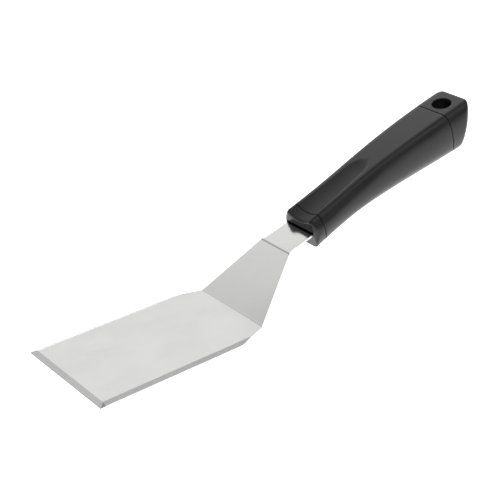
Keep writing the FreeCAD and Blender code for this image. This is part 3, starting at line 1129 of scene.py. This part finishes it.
    @staticmethod
    def drawn_in(y: np.ndarray, h: np.ndarray) -> tuple[np.ndarray, np.ndarray]:
        """Two loops on a flat end face: the rim's loop shrunk about its middle, to keep the face flat.

        Args:
            y: the rim's y.
            h: the rim's h.

        Returns:
            y and h of the two loops.
        """
        shrink = np.array([[0.97], [0.90]])
        middle = float(h.mean())
        return y * shrink, middle + (h - middle) * shrink

    def cut(self, piece: bpy.types.Object, cutter: bpy.types.Object) -> None:
        """Take the cutter's volume out of a piece and remove the cutter.

        Args:
            piece: the object to cut.
            cutter: a closed object.
        """
        change = piece.modifiers.new("cut", "BOOLEAN")
        change.operation = "DIFFERENCE"
        change.solver = "EXACT"
        change.object = cutter
        ready = piece.evaluated_get(bpy.context.evaluated_depsgraph_get())
        finished = bpy.data.meshes.new_from_object(ready)
        piece.modifiers.clear()
        piece.data = finished
        bpy.data.objects.remove(cutter)

    def mark_thumb(self, piece: bpy.types.Object) -> None:
        """Store on every point how far it lies within the thumb recess, from 0 to 1.

        Args:
            piece: the object that gets the attribute named thumb.
        """
        count = len(piece.data.vertices)
        place = np.empty(count * 3, np.float32)
        piece.data.vertices.foreach_get("co", place)
        x, y, z = place.reshape(-1, 3).T.astype(float) / MM
        pitch = math.radians(self.shape.pitch)
        x, z = x - self.shape.origin[0], z - self.shape.origin[1]
        s, h = x * math.cos(pitch) + z * math.sin(pitch), z * math.cos(pitch) - x * math.sin(pitch)
        none = np.zeros_like(s)
        inside = np.abs(y) < self.shape.station_values(s)[2] - 1.0
        hollow = self.shape.recess(s, np.abs(y), none)
        depth = self.shape.outer(s, np.abs(y), none) - hollow
        mark = smoothstep(0.02, 0.5, depth) * inside * (np.abs(h - hollow) < 0.6)
        stored = piece.data.attributes.new("thumb", "FLOAT", "POINT")
        stored.data.foreach_set("value", mark.astype(np.float32))

    def dressed(self, piece: bpy.types.Object, node: str) -> bpy.types.Object:
        """Give a moulding its finish, attach it to the root body and hide the node it stands for.

        Args:
            piece: the finished mesh's object.
            node: the frame's node that it replaces.

        Returns:
            The same object.
        """
        crisp_over(piece, self.crisp_angle)
        self.mark_thumb(piece)
        piece.data.materials.clear()
        piece.data.materials.append(self.plastic)
        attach(piece, "root")
        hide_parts(node)
        return piece


class SeamSide(Enum):
    """Which of a seam's two mouldings a groove is cut into."""

    BEFORE = -1
    AFTER = 1


@dataclass
class Seam:
    """The fine groove where two mouldings meet: half of its width on each (mm)."""

    half_width: float = 0.26
    depth: float = 0.5
    lip: float = 0.16
    gap: float = 0.02

    def into(self, s: float, moulding: SeamSide, wall: float) -> np.ndarray:
        """Path (s, inset) from the outer face over the lip, down the groove and across the end face.

        Args:
            s: the seam's place.
            moulding: the one before the seam or the one after it.
            wall: the inset where the end face stops.

        Returns:
            The path's points, outside first.
        """
        side = moulding.value
        swing = np.linspace(0.0, math.pi / 2.0, 5)
        lip = np.stack([s + side * (self.half_width + self.lip * (1.0 - np.sin(swing))),
                        self.lip * (1.0 - np.cos(swing))], axis=1)
        rest = np.array([
            (s + side * self.half_width, self.depth * 0.7),
            (s + side * self.half_width, self.depth),
            (s + side * self.gap, self.depth + 0.02),
            (s + side * self.gap, wall),
        ])
        return np.concatenate([lip, rest])


@dataclass
class GripShell(Moulding):
    """The hollow grip between the collar and the end cap."""

    start: float = 6.5
    end: float = 104.2
    wall: float = 2.4
    seam: Seam = field(default_factory=Seam)

    def build(self) -> bpy.types.Object:
        """Carry the sections out along the outside and back along the inside.

        Returns:
            The grip's object.
        """
        near, _ = self.shape.narrowest()
        front = self.seam.into(self.start, SeamSide.AFTER, self.wall)
        rear = self.seam.into(self.end, SeamSide.BEFORE, self.wall)
        first, last = front[0, 0], rear[0, 0]
        outer_s = np.concatenate([
            rows_between(first, near - 6.0, 1.0)[1:],
            rows_between(near - 6.0, near, 0.32)[1:],
            rows_between(near, near + 6.0, 0.32)[1:],
            rows_between(near + 6.0, last, 1.2)[1:-1],
        ])
        inner_s = rows_between(self.end - 2.0, self.start + 2.0, 4.0)
        outer = np.stack([outer_s, np.zeros_like(outer_s)], axis=1)
        inner = np.stack([inner_s, np.full_like(inner_s, self.wall)], axis=1)
        outside = self.carried(np.concatenate([front[::-1], outer, rear]), bend_tip=True)
        inside = self.carried(inner)
        piece = Grid(np.concatenate([outside, inside]), wrap_rows=True).to_object("grip_moulding")
        return self.dressed(piece, "grip_shell")


@dataclass
class FrontCollar(Moulding):
    """The ring at the handle's front: rounded lip, mouth for the neck, and the passage behind it."""

    end: float = 6.5
    wall: float = 2.4
    lip_top: float = 1.9
    lip_side: float = 2.6
    lip_bottom: float = 0.7
    mouth_half_width: float = 10.0
    mouth_top: float = 1.15
    mouth_bottom: float = -1.35
    mouth_depth: float = 5.1
    passage_half_width: float = 6.6
    slot_corner: float = 0.25
    sheet: float = 1.2
    seam: Seam = field(default_factory=Seam)

    def lip(self) -> np.ndarray:
        """Radius of the front's rounding for each column: on top, on the side, and below.

        Returns:
            One radius for each column of the right half.
        """
        zone, share = self.columns.zones()
        levels = [
            np.full_like(share, self.lip_top),
            self.lip_top + (self.lip_side - self.lip_top) * smoothstep(0.35, 0.95, share),
            self.lip_side + (self.lip_bottom - self.lip_side) * smoothstep(0.45, 1.0, share),
            np.full_like(share, self.lip_bottom),
            np.full_like(share, self.lip_bottom),
        ]
        return np.select([zone == number for number in range(5)], levels)

    def build(self) -> bpy.types.Object:
        """Carry the sections to the front, round the lip, close both faces and cut the mouth.

        Returns:
            The collar's object.
        """
        back = self.seam.into(self.end, SeamSide.BEFORE, self.wall)
        count = len(self.columns.zones()[0])
        lip = self.lip()[None, :]
        body_s = lip + (back[0, 0] - lip) * np.linspace(1.0, 0.0, 12)[:, None]
        swing = np.linspace(0.0, math.pi / 2.0, 10)[1:, None]
        back_s = np.repeat(back[::-1, 0:1], count, axis=1)
        back_inset = np.repeat(back[::-1, 1:2], count, axis=1)
        s = np.concatenate([back_s[:-1], body_s, lip * (1.0 - np.sin(swing))])
        inset = np.concatenate([back_inset[:-1], 0.0 * body_s, lip * (1.0 - np.cos(swing))])
        y, h = self.section(s, inset)
        face_y, face_h = self.drawn_in(y[-1:], h[-1:])
        points = self.placed(*self.mirrored(np.concatenate([s, 0.0 * face_y]), np.concatenate([y, face_y]),
                                            np.concatenate([h, face_h])))
        piece = Grid(points, cap_ends=True).to_object("collar_moulding")
        self.cut(piece, self.mouth_and_passage())
        return self.dressed(piece, "front_collar")

    def mouth_and_passage(self) -> bpy.types.Object:
        """The cutter for the mouth and, behind a step, the narrower passage for the tang.

        Returns:
            The cutter, a closed object.
        """
        mouth = self.rounded_slot(self.mouth_half_width, self.mouth_bottom, self.mouth_top)
        passage = self.rounded_slot(self.passage_half_width, -self.sheet, 0.0)
        loops = (mouth, mouth, passage, passage)
        s = np.array([[-1.0], [self.mouth_depth], [self.mouth_depth], [self.end + 1.0]])
        y, h = (np.stack([loop[axis] for loop in loops]) for axis in (0, 1))
        return Grid(self.placed(s + 0.0 * y, y, h), cap_ends=True).to_object("mouth_cutter")

    def rounded_slot(self, half_width: float, low: float, high: float) -> tuple[np.ndarray, np.ndarray]:
        """A slot's outline: each corner is a quarter circle about its own centre.

        Args:
            half_width: half of its width.
            low: its lower side's height.
            high: its upper side's height.

        Returns:
            The outline's y and h.
        """
        corner = self.slot_corner
        sign = np.array(((1, 1), (-1, 1), (-1, -1), (1, -1)), float)
        quarter = (np.arange(4)[:, None] + np.linspace(0.0, 1.0, 4)[None, :]) * math.pi / 2.0
        middle, half_height = (low + high) / 2.0, (high - low) / 2.0
        y = sign[:, 0:1] * (half_width - corner) + corner * np.cos(quarter)
        h = middle + sign[:, 1:2] * (half_height - corner) + corner * np.sin(quarter)
        return y.ravel(), h.ravel()


@dataclass
class EndCap(Moulding):
    """The cap: slanted rear face with its own rounding, and the hang hole through it."""

    start: float = 104.2
    length: float = 124.3
    top_at_end: float = 15.8
    slant: float = 23.0
    round_top: float = 2.1
    round_side: float = 4.6
    round_low: float = 2.6
    hole_centre: float = 112.5
    hole_radius: float = 5.4
    hole_lip: float = 0.45
    hole_facets: int = 96
    wall: float = 2.4
    seam: Seam = field(default_factory=Seam)

    def rear_round(self) -> np.ndarray:
        """Radius of the rear edge's rounding for each column.

        Returns:
            One radius for each column of the right half.
        """
        zone, share = self.columns.zones()
        levels = [
            np.full_like(share, self.round_top),
            self.round_top + (self.round_side - self.round_top) * smoothstep(0.3, 0.95, share),
            np.full_like(share, self.round_side),
            self.round_side + (self.round_low - self.round_side) * smoothstep(0.1, 0.9, share),
            np.full_like(share, self.round_low),
        ]
        return np.select([zone == number for number in range(5)], levels)

    def rear_place(self, inset: np.ndarray, clear: np.ndarray) -> np.ndarray:
        """s of the points that lie a clear distance before the slanted rear plane.

        The plane passes through the top's end and leans forward below it. A point's height
        hardly changes with s, so a few rounds settle it.

        Args:
            inset: how far each point lies inside the outer face.
            clear: its distance before the rear plane.

        Returns:
            The places along the handle.
        """
        slant = math.radians(self.slant)
        s = np.full(inset.shape, self.length)
        for _ in range(4):
            h = self.section(s, inset)[1]
            s = self.length - (self.top_at_end - h) * math.tan(slant) - clear / math.cos(slant)
        return s

    def build(self) -> bpy.types.Object:
        """Sections swing from square at the seam to slanted at the rear; then the hole is cut.

        Returns:
            The cap's object.
        """
        front = self.seam.into(self.start, SeamSide.AFTER, self.wall)
        count = len(self.columns.zones()[0])
        radius = self.rear_round()[None, :]
        front_s = np.repeat(front[::-1, 0:1], count, axis=1)
        front_inset = np.repeat(front[::-1, 1:2], count, axis=1)
        begin = front_s[-1:]
        rear = self.rear_place(0.0 * radius, radius)
        share = np.linspace(0.0, 1.0, 20)[1:, None]
        body_s = begin + (rear - begin) * share
        swing = np.linspace(0.0, math.pi / 2.0, 12)[1:, None]
        curl_inset = radius * (1.0 - np.cos(swing))
        curl_s = self.rear_place(curl_inset, radius * (1.0 - np.sin(swing)))
        s = np.concatenate([front_s, body_s, curl_s])
        inset = np.concatenate([front_inset, 0.0 * body_s, curl_inset])
        y, h = self.section(s, inset)
        face_y, face_h = self.drawn_in(y[-1:], h[-1:])
        face_s = self.length - (self.top_at_end - face_h) * math.tan(math.radians(self.slant))
        points = self.placed(*self.mirrored(np.concatenate([s, face_s]), np.concatenate([y, face_y]),
                                            np.concatenate([h, face_h])))
        piece = Grid(points, cap_ends=True).to_object("cap_moulding")
        self.cut_hole(piece)
        return self.dressed(piece, "end_cap")

    def cut_hole(self, piece: bpy.types.Object) -> None:
        """Cut the hang hole: a cylinder square to the top, flaring over a lip at both faces.

        Args:
            piece: the cap to cut.
        """
        levels = self.shape.station_values(np.array([self.hole_centre]))
        top, bottom = float(levels[0][0]), float(levels[1][0])
        swing = np.linspace(0.0, math.pi / 2.0, 7)
        flare = self.hole_lip * (1.0 - np.cos(swing))
        drop = self.hole_lip * (1.0 - np.sin(swing))
        past, widest = 3.0, [flare[-1] + 0.4]
        bore = rows_between(bottom + 1.5, top - 1.5, 3.0)
        heights = np.concatenate([[bottom - past], bottom + drop[::-1], bore, top - drop, [top + past]])
        widening = np.concatenate([widest, flare[::-1], np.zeros(len(bore)), flare, widest])
        radii = self.hole_radius + widening
        turn = np.arange(self.hole_facets) / self.hole_facets * 2.0 * math.pi
        s = self.hole_centre + radii[:, None] * np.cos(turn)
        y = radii[:, None] * np.sin(turn)
        h = heights[:, None] + 0.0 * s
        cutter = Grid(self.placed(s, y, h), cap_ends=True).to_object("hole_cutter")
        self.cut(piece, cutter)


# ------------------------------------------------------------------ hidden pieces
@dataclass(frozen=True)
class HiddenCore:
    """The core halves and the pins inside the grip keep their shape and get their own finish."""

    cores: tuple[str, ...] = ("tang_core_upper", "tang_core_lower")
    pins: str = "tang_pins"

    def dress(self, nodes: dict[str, bpy.types.Object]) -> None:
        """Put the finishes on the nodes' material slots.

        Args:
            nodes: the frame's nodes by name.
        """
        plastic = CorePlastic().material()
        for name in self.cores:
            self.assign(nodes[name], plastic)
        self.assign(nodes[self.pins], TurnedSteel().material())

    @staticmethod
    def assign(node: bpy.types.Object, material: bpy.types.Material) -> None:
        """Use one finish over the whole node."""
        for slot in node.material_slots:
            slot.material = material


# ------------------------------------------------------------------ studio
@dataclass(frozen=True)
class Studio:
    """White floor, a bright panel on the far side, a dim near side, and the camera."""

    floor_size: float = 6.0
    floor_gap: float = 0.0002
    camera_place: tuple[float, float, float] = (-0.28842, -0.40707, 0.31429)
    azimuth: float = -40.78
    elevation: float = 27.81
    roll: float = 0.79
    lens: float = 86.4
    sensor: float = 36.0
    bright: float = 1.12
    dim: float = 0.36
    far_edge: tuple[float, float] = (0.10, 0.52)
    rise_span: tuple[float, float] = (0.0, 0.42)
    horizon: float = 0.2
    lobe: float = 0.62
    lobe_edge: tuple[float, float] = (0.93, 0.995)
    lobe_toward: tuple[float, float, float] = (0.22, -0.42, 0.87)
    panel_edge: tuple[float, float] = (-0.60, -0.35)
    beside: float = 0.3
    floor_out: float = 1.1
    floor_near: float = 1.8
    floor_lift: tuple[float, float] = (-0.14, -0.01)
    floor_far: float = 0.05
    floor_fade: tuple[float, float] = (0.03, 0.30)

    def floor(self) -> None:
        """A large white sheet that glows enough to lose its shadows, brightest just before the part."""
        half = self.floor_size / 2.0
        mesh = bpy.data.meshes.new("studio_floor")
        level = -self.floor_gap
        corners = [(-half, -half, level), (half, -half, level), (half, half, level), (-half, half, level)]
        mesh.from_pydata(corners, [], [(0, 1, 2, 3)])
        floor = bpy.data.objects.new("studio_floor", mesh)
        bpy.context.scene.collection.objects.link(floor)
        g = Graph("studio_floor")
        seen = g.add("ShaderNodeLightPath").outputs["Is Camera Ray"]
        split = g.add("ShaderNodeSeparateXYZ")
        g.join(g.object_place(), split.inputs[0])
        lift = g.remap(split.outputs[1], *self.floor_lift, self.floor_out, self.floor_near)
        fade = g.math("MULTIPLY", lift, g.remap(split.outputs[1], *self.floor_fade, 1.0, self.floor_far))
        g.join(g.math("MAXIMUM", fade, seen), g.shader.inputs["Emission Strength"])
        g.set(Base_Color=(0.2, 0.2, 0.2, 1.0), Roughness=0.9, Emission_Color=(1.0, 1.0, 1.0, 1.0))
        mesh.materials.append(g.material)

    def world(self) -> None:
        """Light from all round: far side times rise times panel edge, plus a soft lobe overhead."""
        world = bpy.data.worlds.new("studio")
        bpy.context.scene.world = world
        world.use_nodes = True
        tree = world.node_tree
        tree.nodes.clear()
        place = tree.nodes.new("ShaderNodeTexCoord").outputs["Generated"]
        split = tree.nodes.new("ShaderNodeSeparateXYZ")
        tree.links.new(place, split.inputs[0])
        far = self.ramp(tree, split.outputs[1], self.far_edge, (self.dim, self.bright))
        rise = self.ramp(tree, split.outputs[2], self.rise_span, (self.horizon, 1.0))
        toward = tree.nodes.new("ShaderNodeVectorMath")
        toward.operation = "DOT_PRODUCT"
        tree.links.new(place, toward.inputs[0])
        toward.inputs[1].default_value = Vector(self.lobe_toward).normalized()
        lobe = self.ramp(tree, toward.outputs["Value"], self.lobe_edge, (0.0, self.lobe))
        panel = self.ramp(tree, split.outputs[0], self.panel_edge, (self.beside, 1.0))
        lit = self.node_math(tree, "MULTIPLY", self.node_math(tree, "MULTIPLY", far, rise), panel)
        level = self.node_math(tree, "ADD", lit, lobe)
        light = tree.nodes.new("ShaderNodeBackground")
        output = tree.nodes.new("ShaderNodeOutputWorld")
        tree.links.new(level, light.inputs["Color"])
        tree.links.new(light.outputs[0], output.inputs["Surface"])

    @staticmethod
    def ramp(tree: bpy.types.NodeTree, value: bpy.types.NodeSocket, span: tuple[float, float],
             levels: tuple[float, float]) -> bpy.types.NodeSocket:
        """A smooth rise from one level to another while a value crosses a span.

        Args:
            tree: the node tree to add to.
            value: the socket to read.
            span: where the rise begins and ends.
            levels: the results before and after it.

        Returns:
            The result's socket.
        """
        node = tree.nodes.new("ShaderNodeMapRange")
        node.interpolation_type = "SMOOTHSTEP"
        for key, number in zip(("From Min", "From Max", "To Min", "To Max"), span + levels):
            node.inputs[key].default_value = number
        tree.links.new(value, node.inputs["Value"])
        return node.outputs["Result"]

    @staticmethod
    def node_math(tree: bpy.types.NodeTree, operation: str, a: bpy.types.NodeSocket,
                  b: bpy.types.NodeSocket) -> bpy.types.NodeSocket:
        """Add or multiply two values.

        Args:
            tree: the node tree to add to.
            operation: ADD or MULTIPLY.
            a: the first value's socket.
            b: the second value's socket.

        Returns:
            The result's socket.
        """
        node = tree.nodes.new("ShaderNodeMath")
        node.operation = operation
        tree.links.new(a, node.inputs[0])
        tree.links.new(b, node.inputs[1])
        return node.outputs[0]

    def camera(self) -> None:
        """Place the camera from its azimuth, elevation and roll."""
        a, e, r = (math.radians(v) for v in (self.azimuth, self.elevation, self.roll))
        back = Vector((math.sin(a) * math.cos(e), -math.cos(a) * math.cos(e), math.sin(e)))
        level = Vector((math.cos(a), math.sin(a), 0.0))
        upright = back.cross(level)
        right = level * math.cos(r) + upright * math.sin(r)
        up = upright * math.cos(r) - level * math.sin(r)
        data = bpy.data.cameras.new("camera")
        data.lens = self.lens
        data.sensor_width = self.sensor
        data.clip_start = 0.01
        camera = bpy.data.objects.new("camera", data)
        turn = Matrix((right, up, back)).transposed().to_4x4()
        camera.matrix_world = Matrix.Translation(self.camera_place) @ turn
        bpy.context.scene.collection.objects.link(camera)
        bpy.context.scene.camera = camera

    def build(self) -> None:
        """Set the floor, the light, the camera and plain colour handling."""
        self.floor()
        self.world()
        self.camera()
        bpy.context.scene.view_settings.view_transform = "Standard"


# ------------------------------------------------------------------ all
def main() -> None:
    """Load the frame, build and dress every piece, log their face counts, and set the studio."""
    logging.basicConfig(level=logging.INFO, format="%(name)s: %(message)s")
    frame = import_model()
    plastic = HandlePlastic().material()
    blade = Blade().build()
    log.info("%s: %d faces", blade.name, len(blade.data.polygons))
    for moulding in (FrontCollar(plastic), GripShell(plastic), EndCap(plastic)):
        piece = moulding.build()
        log.info("%s: %d faces", piece.name, len(piece.data.polygons))
    HiddenCore().dress(frame["nodes"])
    Studio().build()


if __name__ == "__main__":
    main()
